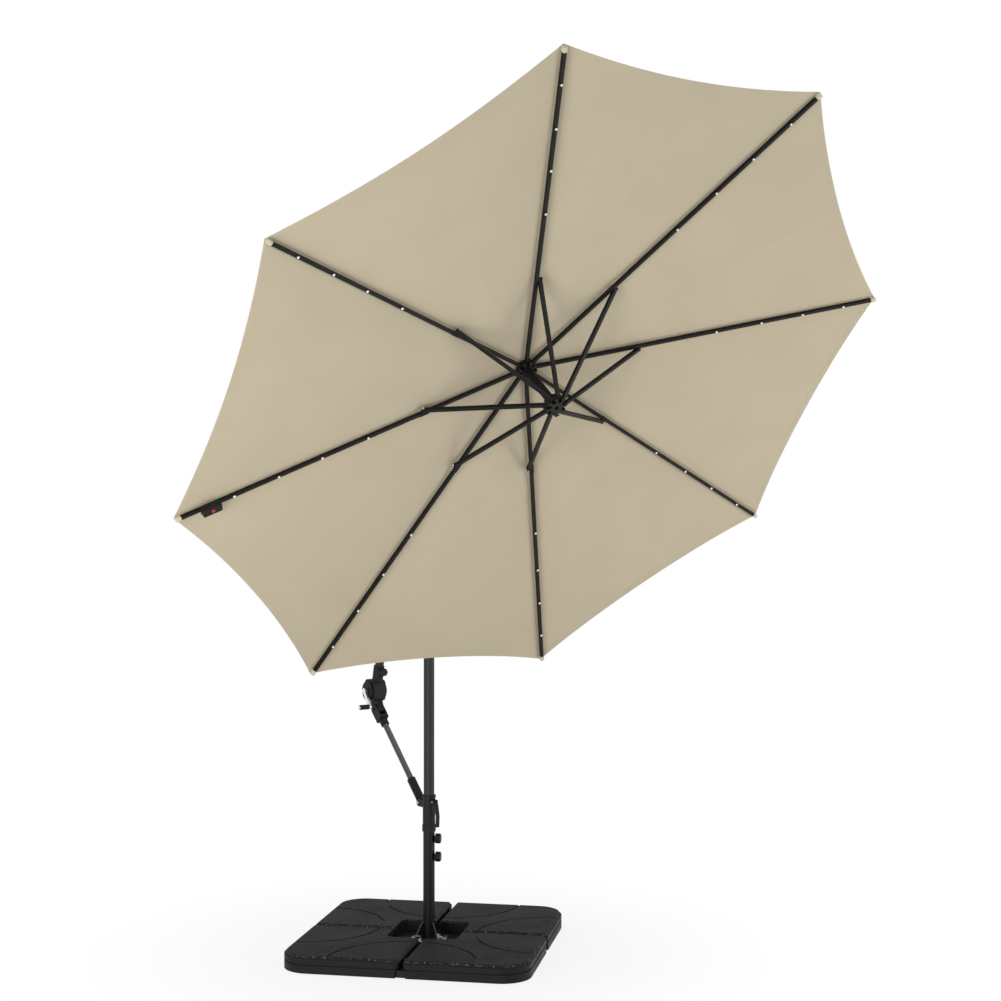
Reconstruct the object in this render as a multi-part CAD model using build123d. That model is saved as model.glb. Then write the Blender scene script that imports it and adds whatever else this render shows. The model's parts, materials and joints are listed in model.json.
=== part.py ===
from build123d import *
import math
import os

# Cantilever patio umbrella on a weighted cross base. Millimetres, Z up, floor at Z = 0.
# The mast axis is the Z axis. Boom, brace and sleeve lie in the XZ plane, canopy towards +X.

# Base
base_turn = 45.0
tank_side = 500.0
tank_gap = 16.0
tank_height = 70.0
tank_outer_radius = 120.0
tank_inner_radius = 18.0
tank_top_bevel = 12.0
tank_groove_height = 32.0
tank_groove_width = 6.0
tank_groove_depth = 5.0
tank_arc_radius = 300.0
tank_arc_width = 10.0
tank_arc_depth = 4.0
well_side = 300.0
well_radius = 30.0
well_floor_height = 18.0
bar_width = 40.0
bar_height = 28.0
bar_end_margin = 12.0
bar_clearance = 1.0
cap_radius = 16.0
cap_thickness = 5.0
cap_plug_radius = 12.0
cap_plug_length = 10.0
cap_inset = 70.0
foot_side = 150.0
foot_thickness = 6.0
gusset_height = 70.0
gusset_reach = 46.0
gusset_thickness = 5.0
bolt_radius = 5.0
bolt_head_radius = 9.0
bolt_head_height = 6.0
bolt_spacing = 52.0

# Mast
mast_radius = 22.5
mast_wall = 1.8
lower_mast_radius = 24.6
mast_overlap = 190.0
turning_clearance = 0.05
pivot_height = 2000.0
mast_top_drop = 120.0
head_wall = 3.5
head_length = 80.0
cheek_thickness = 6.0
cheek_half_width = 24.0
pin_radius = 6.0
pin_clearance = 0.05
pin_overhang = 3.0
mast_knob_drops = (107.0, 30.0)
mast_knob_angle = 45.0
knob_radius = 21.0
knob_height = 22.0
knob_hub_radius = 9.0
knob_hub_length = 4.0
knob_screw_radius = 4.0
knob_lobes = 6
seat_gap = 0.3

# Sleeve, lever and brace
sleeve_foot_drop = 113.6
sleeve_rest_gap = 0.4
sleeve_length = 153.0
sleeve_radius = 26.5
sleeve_rim_radius = 29.0
sleeve_collar_length = 27.0
sleeve_rim_length = 12.0
liner_radius = 24.4
liner_clearance = 0.1
liner_end_inset = 4.0
brace_foot_x = -55.0
brace_foot_drop = 1400.0
brace_head_x = -430.0
brace_head_drop = 1040.0
ear_gap = 13.0
ear_thickness = 6.0
ear_radius = 15.0
brace_pin_radius = 5.0
brace_radius = 12.5
brace_wall = 1.5
brace_socket_radius = 18.5
brace_socket_start = 24.0
brace_socket_length = 100.0
brace_socket_depth = 40.0
clevis_radius = 22.0
clevis_gap = 16.0
clevis_thickness = 5.0
clevis_bridge_start = 48.0
clevis_bridge_length = 14.0
clevis_socket_length = 30.0
lever_pivot_x = 45.0
lever_pivot_rise = 15.0
lever_half_width = 7.0
lever_cheek_gap = 7.5
lever_cheek_thickness = 4.0
lever_pin_radius = 3.0
lever_drop = 103.0
lever_reach = 29.0
lever_thickness = 9.0

# Winch and crank
winch_x = -460.0
winch_drop = 960.0
housing_half_width = 30.0
housing_length = 90.0
housing_bottom_drop = 1004.0
housing_top_drop = 910.0
housing_rounding = 12.0
disc_radius = 42.5
disc_thickness = 9.0
cavity_radius = 33.0
cavity_half_width = 20.0
lug_radius = 28.0
lug_half_width = 15.0
lug_slot_radius = 19.0
shaft_radius = 6.0
drum_radius = 12.0
drum_flange_radius = 29.0
drum_flange_thickness = 3.0
drum_half_width = 18.0
crank_reach = 80.0
crank_angle = -55.0
crank_thickness = 9.0
crank_hub_radius = 13.0
crank_gap = 7.0
grip_radius = 11.0
grip_length = 46.0
grip_spindle_radius = 4.0
grip_head_radius = 7.0
grip_head_thickness = 4.0
cord_radius = 2.0
socket_radius = 24.0
socket_length = 60.0
lock_knob_rise = 34.0
lock_knob_standoff = 5.3
lock_screw_gap = 2.3
lock_knob_radius = 17.0

# Boom and canopy hang
boom_radius = 19.0
boom_wall = 3.0
boom_start_drop = 906.0
boom_end_gap = 48.0
canopy_tilt = 51.5
hub_x = 690.0
hub_rise = 420.0
hang_rise = 75.0
yoke_length = 90.0
fork_gap = 10.5
fork_thickness = 6.0
fork_radius = 16.0
fork_plug_length = 60.0
yoke_half_width = 10.0
yoke_cheek_gap = 13.0
yoke_cheek_thickness = 7.0
yoke_bridge_start = 38.0
yoke_bridge_length = 18.0
stem_half_width = 12.5
stem_radius = 15.0

# Canopy frame, measured from the hub along the canopy axis and outwards from it
rib_count = 8
canopy_radius = 1500.0
canopy_drop = 238.0
canopy_peak = 18.0
canopy_thickness = 1.5
canopy_hole_radius = 20.0
scallop_depth = 45.0
hub_radius = 41.0
hub_height = 30.0
rib_hinge_radius = 32.0
rib_hinge_drop = 33.0
rib_width = 12.0
rib_height = 14.0
rib_wall = 1.4
rib_solid_end = 16.0
rib_tip_inset = 12.0
rib_tip_drop = 247.0
slot_clearance = 0.3
slot_floor = 10.0
frame_pin_radius = 3.0
frame_pin_half_length = 10.0
centre_tube_radius = 18.0
centre_tube_wall = 2.0
runner_drop = 256.0
runner_height = 36.0
runner_radius = 44.0
runner_bore_radius = 8.0
stretcher_width = 14.0
stretcher_wall = 1.4
stretcher_solid_end = 16.0
stretcher_side_gap = 0.4
stretcher_reach = 470.0
rivet_radius = 6.0
rivet_height = 3.0
cap_crown_radius = 62.0
cap_crown_height = 9.0
lamp_radius = 5.5
lamp_height = 5.0
lamp_places = (0.53, 0.66, 0.78, 0.90)
box_rib = 7
box_lamp_shift = -0.054
box_inset = 172.0
box_length = 75.0
box_width = 34.0
box_height = 26.0
button_radius = 7.0
button_height = 5.0
button_travel = 2.0

# Places that follow from the sizes above; heights on mast and boom hang from the boom pivot
mast_top = pivot_height - mast_top_drop
brace_foot_z = pivot_height - brace_foot_drop
sleeve_bottom = brace_foot_z - sleeve_foot_drop
lower_mast_top = sleeve_bottom - sleeve_rest_gap
mast_knob_heights = [lower_mast_top - drop for drop in mast_knob_drops]
brace_head_z = pivot_height - brace_head_drop
lever_pivot_z = brace_foot_z + lever_pivot_rise
winch_z = pivot_height - winch_drop
housing_bottom = pivot_height - housing_bottom_drop
housing_top = pivot_height - housing_top_drop
boom_start_z = pivot_height - boom_start_drop
hub_z = pivot_height + hub_rise
box_start = canopy_radius - box_inset
cloth_slope = (canopy_drop - canopy_peak) / (canopy_radius - rib_hinge_radius)
cloth_apex = canopy_peak - cloth_slope * rib_hinge_radius
hub_top = cloth_apex + cloth_slope * hub_radius / math.cos(math.pi / rib_count) + seat_gap
floor_of_foot = bar_height
foot_top = floor_of_foot + foot_thickness
base_half = tank_side + tank_gap / 2
lower_mast_bore = mast_radius + turning_clearance
tilt_rad = math.radians(canopy_tilt)
canopy_axis = Vector(-math.sin(tilt_rad), 0, math.cos(tilt_rad))
canopy_out = Vector(math.cos(tilt_rad), 0, math.sin(tilt_rad))
hub_point = Vector(hub_x, 0, hub_z)
hang_point = hub_point + canopy_axis * hang_rise
yoke_point = hang_point + canopy_axis * yoke_length
pivot_point = Vector(0, 0, pivot_height)
brace_foot = Vector(brace_foot_x, 0, brace_foot_z)
brace_head = Vector(brace_head_x, 0, brace_head_z)
winch_point = Vector(winch_x, 0, winch_z)
lever_point = Vector(lever_pivot_x, 0, lever_pivot_z)
cord_offset = boom_radius - boom_wall - cord_radius - 0.1
cord_x = winch_x + drum_radius + cord_radius + 0.1
rib_slope = math.atan2(rib_tip_drop - rib_hinge_drop, canopy_radius - rib_tip_inset - rib_hinge_radius)
rib_length = (canopy_radius - rib_tip_inset - rib_hinge_radius) / math.cos(rib_slope)
runner_hinge_drop = runner_drop + runner_height / 2
stretcher_end_drop = rib_hinge_drop + (stretcher_reach - rib_hinge_radius) * math.tan(rib_slope)
stretcher_side = rib_width / 2 + stretcher_side_gap + stretcher_width / 2
stretcher_slope = math.atan2(
    runner_hinge_drop - stretcher_end_drop, stretcher_reach - rib_hinge_radius
)
stretcher_length = math.hypot(
    runner_hinge_drop - stretcher_end_drop, stretcher_reach - rib_hinge_radius
)
canopy_place = Plane(origin=hub_point, x_dir=canopy_out, z_dir=canopy_axis).location


def rib_angle(number):
    """Angle of a numbered rib about the canopy axis, from the outward direction."""
    return 360 / rib_count * (number - 1.5)


def circle_through(first, second, third):
    """Centre (x, z) and radius of the circle through three points of the XZ plane."""
    ax, az, bx, bz, cx, cz = first.X, first.Z, second.X, second.Z, third.X, third.Z
    det = 2 * (ax * (bz - cz) + bx * (cz - az) + cx * (az - bz))
    a2, b2, c2 = ax * ax + az * az, bx * bx + bz * bz, cx * cx + cz * cz
    x = (a2 * (bz - cz) + b2 * (cz - az) + c2 * (az - bz)) / det
    z = (a2 * (cx - bx) + b2 * (ax - cx) + c2 * (bx - ax)) / det
    return x, z, math.hypot(ax - x, az - z)


boom_start = Vector(cord_x + cord_offset, 0, boom_start_z)
boom_centre_x, boom_centre_z, boom_bend = circle_through(boom_start, pivot_point, yoke_point)
boom_first_angle = math.atan2(boom_start.Z - boom_centre_z, boom_start.X - boom_centre_x)
boom_last_angle = (
    math.atan2(yoke_point.Z - boom_centre_z, yoke_point.X - boom_centre_x)
    + boom_end_gap / boom_bend
)


def boom_at(angle, offset=0.0):
    """Point of the boom's bend at an angle, moved outwards by an offset."""
    reach = boom_bend + offset
    return Vector(
        boom_centre_x + reach * math.cos(angle), 0, boom_centre_z + reach * math.sin(angle)
    )


def boom_arc(first, last, offset=0.0):
    """Arc of the boom between two angles."""
    middle = (first + last) / 2
    return ThreePointArc(boom_at(first, offset), boom_at(middle, offset), boom_at(last, offset))


def along(origin, direction):
    """Location whose Z axis points along a direction."""
    return Plane(origin=origin, z_dir=direction).location


def rod(start, end, radius):
    """Round bar between two points."""
    span = end - start
    bar = Cylinder(radius, span.length, align=(Align.CENTER, Align.CENTER, Align.MIN))
    return along(start, span) * bar


def cross_rod(point, radius, low, high):
    """Round bar along Y through a point of the XZ plane."""
    return rod(Vector(point.X, low, point.Z), Vector(point.X, high, point.Z), radius)


def flat_link(start, end, radius, low, high):
    """Plate with round ends between two points of the XZ plane, from low to high along Y."""
    span = end - start
    frame = Plane(origin=start, x_dir=span, z_dir=(0, 1, 0))
    bar = Box(span.length, 2 * radius, high - low, align=(Align.MIN, Align.CENTER, Align.MIN))
    plate = frame.location * Pos(0, 0, low) * bar
    return plate + cross_rod(start, radius, low, high) + cross_rod(end, radius, low, high)


def square_link(start, end, half_height, low, high):
    """Plate with square ends between two points of the XZ plane."""
    span = end - start
    frame = Plane(origin=start, x_dir=span, z_dir=(0, 1, 0))
    bar = Box(span.length, 2 * half_height, high - low, align=(Align.MIN, Align.CENTER, Align.MIN))
    return frame.location * Pos(0, 0, low) * bar


def upright(radius, bottom, top):
    """Round bar on the mast axis."""
    return rod(Vector(0, 0, bottom), Vector(0, 0, top), radius)


def hand_knob(radius, screw_length):
    """Lobed knob on +Z with its hub from Z = 0 and its screw below."""
    head = Pos(0, 0, knob_hub_length) * Cylinder(
        radius, knob_height, align=(Align.CENTER, Align.CENTER, Align.MIN)
    )
    head = fillet(head.edges().group_by(Axis.Z)[-1], knob_height / 5)
    for lobe in range(knob_lobes):
        notch = Pos(radius * 1.12, 0, knob_hub_length) * Cylinder(
            radius * 0.3, knob_height * 3, align=(Align.CENTER, Align.CENTER, Align.CENTER)
        )
        head -= Rot(0, 0, 360 / knob_lobes * lobe) * notch
    hub = Cylinder(knob_hub_radius, knob_hub_length, align=(Align.CENTER, Align.CENTER, Align.MIN))
    screw = Cylinder(knob_screw_radius, screw_length, align=(Align.CENTER, Align.CENTER, Align.MAX))
    return head + hub + screw


def tank():
    """One weight tank in the first quarter of the base, filled solid."""
    start = tank_gap / 2
    outline = Pos(start + tank_side / 2, start + tank_side / 2) * Rectangle(tank_side, tank_side)
    corners = outline.vertices().sort_by(lambda v: v.X + v.Y)
    outline = fillet(corners[-1], tank_outer_radius)
    side_corners = []
    for corner in outline.vertices():
        if min(corner.X, corner.Y) < start + 1 and max(corner.X, corner.Y) > base_half - 1:
            side_corners.append(corner)
    outline = fillet(side_corners, tank_inner_radius)
    body = extrude(outline, tank_height)
    body = chamfer(body.edges().group_by(Axis.Z)[-1], tank_top_bevel)
    groove_floor = offset(outline, -tank_groove_depth)
    band = extrude(outline, tank_groove_width) - extrude(groove_floor, tank_groove_width)
    body -= Pos(0, 0, tank_groove_height) * band
    ring = Cylinder(tank_arc_radius + tank_arc_width / 2, tank_arc_depth * 2) - Cylinder(
        tank_arc_radius - tank_arc_width / 2, tank_arc_depth * 2
    )
    for x, y in ((base_half, 0), (0, base_half)):
        body -= Pos(x, y, tank_height) * ring
    well = extrude(RectangleRounded(well_side, well_side, well_radius), tank_height)
    body -= Pos(0, 0, well_floor_height) * well
    channel_width = bar_width + 2 * bar_clearance
    channel_height = bar_height
    standing = (Align.CENTER, Align.CENTER, Align.MIN)
    channel = Box(4 * tank_side, channel_width, channel_height, align=standing)
    body -= channel
    body -= Rot(0, 0, 90) * channel
    return body - tank_cap_plug()


def cap_frame():
    """Where a tank's filler cap sits: on its side towards the gap along X."""
    spot = Vector(base_half - cap_inset, tank_gap / 2, bar_height + bar_clearance + cap_radius + 1)
    return along(spot, Vector(0, -1, 0))


def tank_cap_plug():
    """Threaded end of a filler cap, inside its tank."""
    return cap_frame() * Cylinder(
        cap_plug_radius, cap_plug_length, align=(Align.CENTER, Align.CENTER, Align.MAX)
    )


def tank_cap():
    """Filler cap with its plug."""
    disc = Cylinder(cap_radius, cap_thickness, align=(Align.CENTER, Align.CENTER, Align.MIN))
    return cap_frame() * disc + tank_cap_plug()


def bolt_spots():
    """Places of the four bolts that hold the mast foot to the bars."""
    return [Rot(0, 0, 90 * side) * Pos(bolt_spacing, 0, 0) for side in range(4)]


def bolt():
    """Hexagon bolt through the mast foot into a bar."""
    head = extrude(RegularPolygon(bolt_head_radius, 6), bolt_head_height)
    shank = Cylinder(bolt_radius, foot_top - 6, align=(Align.CENTER, Align.CENTER, Align.MAX))
    return Pos(0, 0, foot_top) * (head + shank)


def base_pieces():
    """Tanks, cross bars, mast foot, bolts and caps, in the base's own frame."""
    pieces = {}
    for quarter in range(4):
        pieces[f"weight_tank_{quarter + 1}"] = Rot(0, 0, 90 * quarter) * tank()
    pieces["tank_caps"] = Compound([Rot(0, 0, 90 * quarter) * tank_cap() for quarter in range(4)])
    holes = [spot * Pos(0, 0, foot_top) * Cylinder(bolt_radius, 2 * foot_top) for spot in bolt_spots()]
    reach = base_half - bar_end_margin
    floor = (Align.CENTER, Align.CENTER, Align.MIN)
    long_bar = Box(2 * reach, bar_width, bar_height, align=floor)
    short_bar = Box(
        reach - bar_width / 2, bar_width, bar_height, align=(Align.MIN, Align.CENTER, Align.MIN)
    )
    for hole in holes:
        long_bar -= hole
    shorts = []
    for turn in (90, 270):
        half = Rot(0, 0, turn) * Pos(bar_width / 2, 0, 0) * short_bar
        for hole in holes:
            half -= hole
        shorts.append(half)
    pieces["cross_bar_long"] = long_bar
    pieces["cross_bar_short"] = Compound(shorts)
    plate_outline = RectangleRounded(foot_side, foot_side, well_radius)
    plate = Pos(0, 0, floor_of_foot) * extrude(plate_outline, foot_thickness)
    for hole in holes:
        plate -= hole
    web = make_face(
        Polyline(
            (0, foot_top),
            (lower_mast_radius + gusset_reach, foot_top),
            (lower_mast_radius + gusset_reach, foot_top + 8),
            (lower_mast_radius + 8, foot_top + gusset_height),
            (0, foot_top + gusset_height),
            close=True,
        )
    )
    gusset = Rot(90, 0, 0) * extrude(web, gusset_thickness / 2, both=True)
    for side in range(4):
        plate += Rot(0, 0, 45 + 90 * side) * gusset
    plate -= upright(lower_mast_radius, foot_top, 2 * lower_mast_top)
    pieces["mast_foot"] = plate
    pieces["foot_bolts"] = Compound([spot * bolt() for spot in bolt_spots()])
    return {name: Rot(0, 0, base_turn) * piece for name, piece in pieces.items()}


def knob_frame(height):
    """Location of a mast knob, its Z axis pointing out of the lower mast."""
    turn = math.radians(mast_knob_angle)
    out = Vector(math.cos(turn), math.sin(turn), 0)
    return along(out * (lower_mast_radius + seat_gap) + Vector(0, 0, height), out)


def mast_pieces():
    """Lower and upper mast, its head and pin, and the two mast knobs."""
    pieces = {}
    lower = upright(lower_mast_radius, foot_top, lower_mast_top)
    lower -= upright(lower_mast_bore, foot_top + 2 * mast_wall, 2 * lower_mast_top)
    screw_length = lower_mast_radius + seat_gap - mast_radius - turning_clearance / 2
    names = ("mast_knob_lower", "mast_knob_upper")
    for name, height in zip(names, mast_knob_heights):
        frame = knob_frame(height)
        hole_length = 4 * lower_mast_radius - mast_radius * 2
        lower -= frame * Cylinder(knob_screw_radius + pin_clearance, hole_length)
        pieces[name] = frame * hand_knob(knob_radius, screw_length)
    pieces["lower_mast"] = lower
    upper = upright(mast_radius, lower_mast_top - mast_overlap, mast_top)
    upper -= upright(mast_radius - mast_wall, 0, 2 * mast_top)
    pieces["upper_mast"] = upper
    head = upright(mast_radius + head_wall, mast_top - head_length, mast_top + cheek_thickness)
    head -= upright(mast_radius, 0, mast_top)
    inner = boom_radius + 1
    outer = inner + cheek_thickness
    low = Vector(0, 0, mast_top - head_length / 2)
    for side in ((inner, outer), (-outer, -inner)):
        head += flat_link(low, pivot_point, cheek_half_width, *side)
    head -= upright(mast_radius, 0, mast_top)
    pieces["head_pin"] = cross_rod(pivot_point, pin_radius, -outer - pin_overhang, outer + pin_overhang)
    pieces["mast_head"] = head - pieces["head_pin"]
    return pieces


def lever_outline():
    """Side outline of the release lever, from its pivot boss down to its tip."""
    x, z = lever_pivot_x, lever_pivot_z
    t = lever_thickness
    spine = [
        (x - t, z + t),
        (x + t, z + t),
        (x + lever_reach - t, z - lever_drop * 0.15),
        (x + lever_reach, z - lever_drop * 0.55),
        (x + lever_reach - 3, z - lever_drop),
        (x + lever_reach - 3 - t, z - lever_drop),
        (x + lever_reach - t, z - lever_drop * 0.55),
        (x + t, z - lever_drop * 0.2),
        (x - t, z - t),
    ]
    return spine


def sleeve_pieces():
    """Sliding sleeve, its liner and pins, and the release lever."""
    pieces = {}
    top = sleeve_bottom + sleeve_length
    body = upright(sleeve_radius, sleeve_bottom, top)
    body += upright(sleeve_rim_radius, sleeve_bottom, sleeve_bottom + sleeve_collar_length)
    body += upright(sleeve_rim_radius, top - sleeve_rim_length, top)
    inside = Vector(0, 0, brace_foot_z)
    for side in ((ear_gap, ear_gap + ear_thickness), (-ear_gap - ear_thickness, -ear_gap)):
        body += flat_link(inside, brace_foot, ear_radius, *side)
    inside = Vector(0, 0, lever_pivot_z)
    cheek = lever_cheek_gap + lever_cheek_thickness
    for side in ((lever_cheek_gap, cheek), (-cheek, -lever_cheek_gap)):
        body += flat_link(inside, lever_point, lever_thickness, *side)
    body -= upright(liner_radius, 0, mast_top)
    ear_end = ear_gap + ear_thickness + pin_overhang
    brace_pin = cross_rod(brace_foot, brace_pin_radius, -ear_end, ear_end)
    lever_pin = cross_rod(lever_point, lever_pin_radius, -cheek - 2, cheek + 2)
    pieces["sleeve"] = body - brace_pin - lever_pin
    pieces["sleeve_pins"] = Compound([brace_pin, lever_pin])
    liner = upright(liner_radius, sleeve_bottom + liner_end_inset, top - liner_end_inset)
    pieces["sleeve_liner"] = liner - upright(mast_radius + liner_clearance, 0, mast_top)
    outline = make_face(Polyline(*lever_outline(), close=True))
    outline = fillet(outline.vertices().sort_by(Axis.Y)[:2], lever_thickness / 3)
    lever = Rot(90, 0, 0) * extrude(outline, lever_half_width, both=True)
    pieces["release_lever"] = lever - cross_rod(lever_point, lever_pin_radius + pin_clearance, -50, 50)
    return pieces


def brace_pieces():
    """Brace tube with its foot socket and head clevis."""
    pieces = {}
    way = (brace_head - brace_foot).normalized()
    half = ear_gap - seat_gap
    socket_start = brace_foot + way * brace_socket_start
    socket_end = socket_start + way * brace_socket_length
    foot = flat_link(brace_foot, socket_start, ear_radius - 1, -half, half)
    foot += rod(socket_start, socket_end, brace_socket_radius)
    tube_start = socket_end - way * brace_socket_depth
    head_socket_end = brace_head - way * clevis_bridge_start
    head_socket_start = head_socket_end - way * (clevis_bridge_length + clevis_socket_length)
    tube_end = head_socket_start + way * brace_socket_depth
    tube = rod(tube_start, tube_end, brace_radius)
    pieces["brace_tube"] = tube - rod(tube_start, tube_end, brace_radius - brace_wall)
    foot -= tube
    pieces["brace_foot"] = foot - cross_rod(brace_foot, brace_pin_radius + pin_clearance, -99, 99)
    outer = clevis_gap + clevis_thickness
    clevis = rod(head_socket_start, head_socket_end - way * 2, brace_socket_radius)
    bridge_start = head_socket_end - way * clevis_bridge_length
    clevis += square_link(bridge_start, head_socket_end, clevis_radius, -outer, outer)
    for side in ((clevis_gap, outer), (-outer, -clevis_gap)):
        clevis += flat_link(bridge_start + way * clevis_radius, brace_head, clevis_radius, *side)
    clevis += cross_rod(brace_head, brace_pin_radius, -outer - pin_overhang, outer + pin_overhang)
    pieces["brace_clevis"] = clevis - tube
    return pieces


def winch_pieces():
    """Winch housing halves, drum, crank arm, grip and the boom lock knob."""
    pieces = {}
    width = 2 * housing_half_width
    middle_z = (housing_bottom + housing_top) / 2
    block = Pos(winch_x + 6, 0, middle_z) * Box(housing_length, width, housing_top - housing_bottom)
    block = fillet(block.edges().filter_by(Axis.Y), housing_rounding * 1.6)
    layers = block.edges().group_by(Axis.Y)
    block = fillet(layers[0] + layers[-1], housing_rounding / 2)
    face = housing_half_width + disc_thickness
    block += cross_rod(winch_point, disc_radius, -face, face)
    block += flat_link(winch_point, brace_head, lug_radius, -lug_half_width, lug_half_width)
    start_way = (boom_at(boom_first_angle - 0.001) - boom_at(boom_first_angle)).normalized()
    block += rod(boom_start - start_way * 12, boom_start + start_way * socket_length, socket_radius)
    block -= cross_rod(winch_point, cavity_radius, -cavity_half_width, cavity_half_width)
    block -= cross_rod(brace_head, lug_slot_radius, -99, 99)
    block -= boom_solid(boom_radius)
    block -= cross_rod(winch_point, shaft_radius + pin_clearance, -99, housing_half_width)
    block -= rod(Vector(cord_x, 0, winch_z), Vector(cord_x, 0, boom_start_z + 8), 3 * cord_radius)
    knob_at = boom_start + start_way * lock_knob_rise
    frame = along(knob_at + Vector(socket_radius + lock_knob_standoff, 0, 0), Vector(1, 0, 0))
    knob_length = socket_radius + lock_knob_standoff - boom_radius - lock_screw_gap
    block -= frame * Cylinder(knob_screw_radius + pin_clearance, 2 * knob_length)
    pieces["lock_knob"] = frame * hand_knob(lock_knob_radius, knob_length)
    half_space = Box(4000, 4000, 4000, align=(Align.CENTER, Align.MIN, Align.CENTER))
    pieces["winch_housing"] = block & half_space
    pieces["winch_cover"] = block - half_space
    core = cross_rod(winch_point, drum_radius, -drum_half_width, drum_half_width)
    for low, high in (
        (-drum_half_width, drum_flange_thickness - drum_half_width),
        (drum_half_width - drum_flange_thickness, drum_half_width),
    ):
        core += cross_rod(winch_point, drum_flange_radius, low, high)
    arm_high = -face - crank_gap
    arm_low = arm_high - crank_thickness
    shaft = cross_rod(winch_point, shaft_radius, arm_low + 2, housing_half_width - 2)
    pieces["winch_drum"] = core + shaft
    turn = math.radians(crank_angle)
    tip = winch_point + Vector(math.cos(turn), 0, math.sin(turn)) * crank_reach
    arm = flat_link(winch_point, tip, crank_hub_radius * 0.7, arm_low, arm_high)
    arm += cross_rod(winch_point, crank_hub_radius, arm_low, arm_high)
    spindle_end = arm_low - grip_length - 1
    arm += cross_rod(tip, grip_spindle_radius, spindle_end, arm_low)
    arm += cross_rod(tip, grip_head_radius, spindle_end - grip_head_thickness, spindle_end)
    pieces["crank_arm"] = arm - shaft
    grip = cross_rod(tip, grip_radius, spindle_end + seat_gap, arm_low - seat_gap)
    grip = fillet(grip.edges(), grip_radius / 4)
    pieces["crank_grip"] = grip - cross_rod(tip, grip_spindle_radius + pin_clearance, -999, 999)
    return pieces


def boom_solid(radius):
    """Round bar along the boom's bend."""
    arc = boom_arc(boom_first_angle, boom_last_angle)
    return sweep(Plane(origin=arc @ 0, z_dir=arc % 0) * Circle(radius), path=arc)


def boom_pieces():
    """Boom tube, lift cord, boom fork and levelling yoke with its pins."""
    pieces = {}
    tube = boom_solid(boom_radius) - boom_solid(boom_radius - boom_wall)
    pieces["boom"] = tube - cross_rod(pivot_point, pin_radius + pin_clearance, -99, 99)
    end = boom_at(boom_last_angle)
    way = (end - boom_at(boom_last_angle + 0.002)).normalized()
    plug_angle = boom_last_angle + fork_plug_length / boom_bend
    plug_arc = boom_arc(plug_angle, boom_last_angle)
    plug = sweep(
        Plane(origin=plug_arc @ 0, z_dir=plug_arc % 0) * Circle(boom_radius - boom_wall), path=plug_arc
    )
    cord_arc = boom_arc(boom_first_angle, plug_angle + 2 / boom_bend, cord_offset)
    cord = sweep(Plane(origin=cord_arc @ 0, z_dir=cord_arc % 0) * Circle(cord_radius), path=cord_arc)
    drop = rod(Vector(cord_x, 0, winch_z), Vector(cord_x, 0, boom_start_z - cord_radius), cord_radius)
    pieces["lift_cord"] = Compound([cord, drop - cord])
    outer = fork_gap + fork_thickness
    block_end = end + way * (boom_end_gap - fork_radius - 4)
    fork = plug + rod(end, block_end, boom_radius)
    for side in ((fork_gap, outer), (-outer, -fork_gap)):
        fork += flat_link(block_end, yoke_point, fork_radius, *side)
    yoke_pin = cross_rod(yoke_point, pin_radius, -outer - pin_overhang, outer + pin_overhang)
    fork -= cross_rod(yoke_point, fork_radius + 2, -fork_gap, fork_gap)
    pieces["boom_fork"] = fork - yoke_pin
    pieces["yoke_pin"] = yoke_pin
    down = canopy_axis * -1
    bridge_start = yoke_point + down * yoke_bridge_start
    bridge_end = bridge_start + down * yoke_bridge_length
    cheek = yoke_cheek_gap + yoke_cheek_thickness
    yoke = flat_link(yoke_point, bridge_start, fork_radius - 1, -yoke_half_width, yoke_half_width)
    yoke += square_link(bridge_start, bridge_end, fork_radius, -cheek, cheek)
    for side in ((yoke_cheek_gap, cheek), (-cheek, -yoke_cheek_gap)):
        yoke += flat_link(bridge_end, hang_point, fork_radius, *side)
    yoke -= cross_rod(hang_point, stem_radius + 2, -yoke_cheek_gap, yoke_cheek_gap)
    hang_pin = cross_rod(hang_point, pin_radius, -cheek - pin_overhang, cheek + pin_overhang)
    yoke -= cross_rod(yoke_point, pin_radius + pin_clearance, -99, 99)
    pieces["levelling_yoke"] = yoke - hang_pin
    pieces["hang_pin"] = hang_pin
    return pieces


def hung(radius, top, height):
    """Disc on the canopy axis, given by its top below the hub point."""
    disc = Cylinder(radius, height, align=(Align.CENTER, Align.CENTER, Align.MAX))
    return Pos(0, 0, -top) * disc


def slotted(disc, hinge_drop, width, side):
    """Cuts one slot and one pin bore for each rib or stretcher into a disc."""
    pins = []
    for number in range(1, rib_count + 1):
        turn = Rot(0, 0, rib_angle(number))
        slot = Pos(rib_hinge_radius - slot_floor, side, 0) * Box(
            200, width + 2 * slot_clearance, 2000, align=(Align.MIN, Align.CENTER, Align.CENTER)
        )
        disc -= turn * slot
        pin = Cylinder(frame_pin_radius, 2 * frame_pin_half_length)
        pins.append(turn * Pos(rib_hinge_radius, side, -hinge_drop) * Rot(90, 0, 0) * pin)
    for pin in pins:
        disc -= pin
    return disc, Compound(pins)


def canopy_shape(drop):
    """Eight-sided pyramid under the canopy cloth, moved down by a distance."""
    spread = 0.2
    face = Pos(0, 0, -canopy_drop) * Rot(0, 0, 180 / rib_count) * RegularPolygon(canopy_radius, rib_count)
    top_drop = cloth_apex + cloth_slope * spread
    top = Pos(0, 0, -top_drop) * Rot(0, 0, 180 / rib_count) * RegularPolygon(spread, rib_count)
    return Pos(0, 0, -drop) * loft([face, top], ruled=True)


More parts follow.
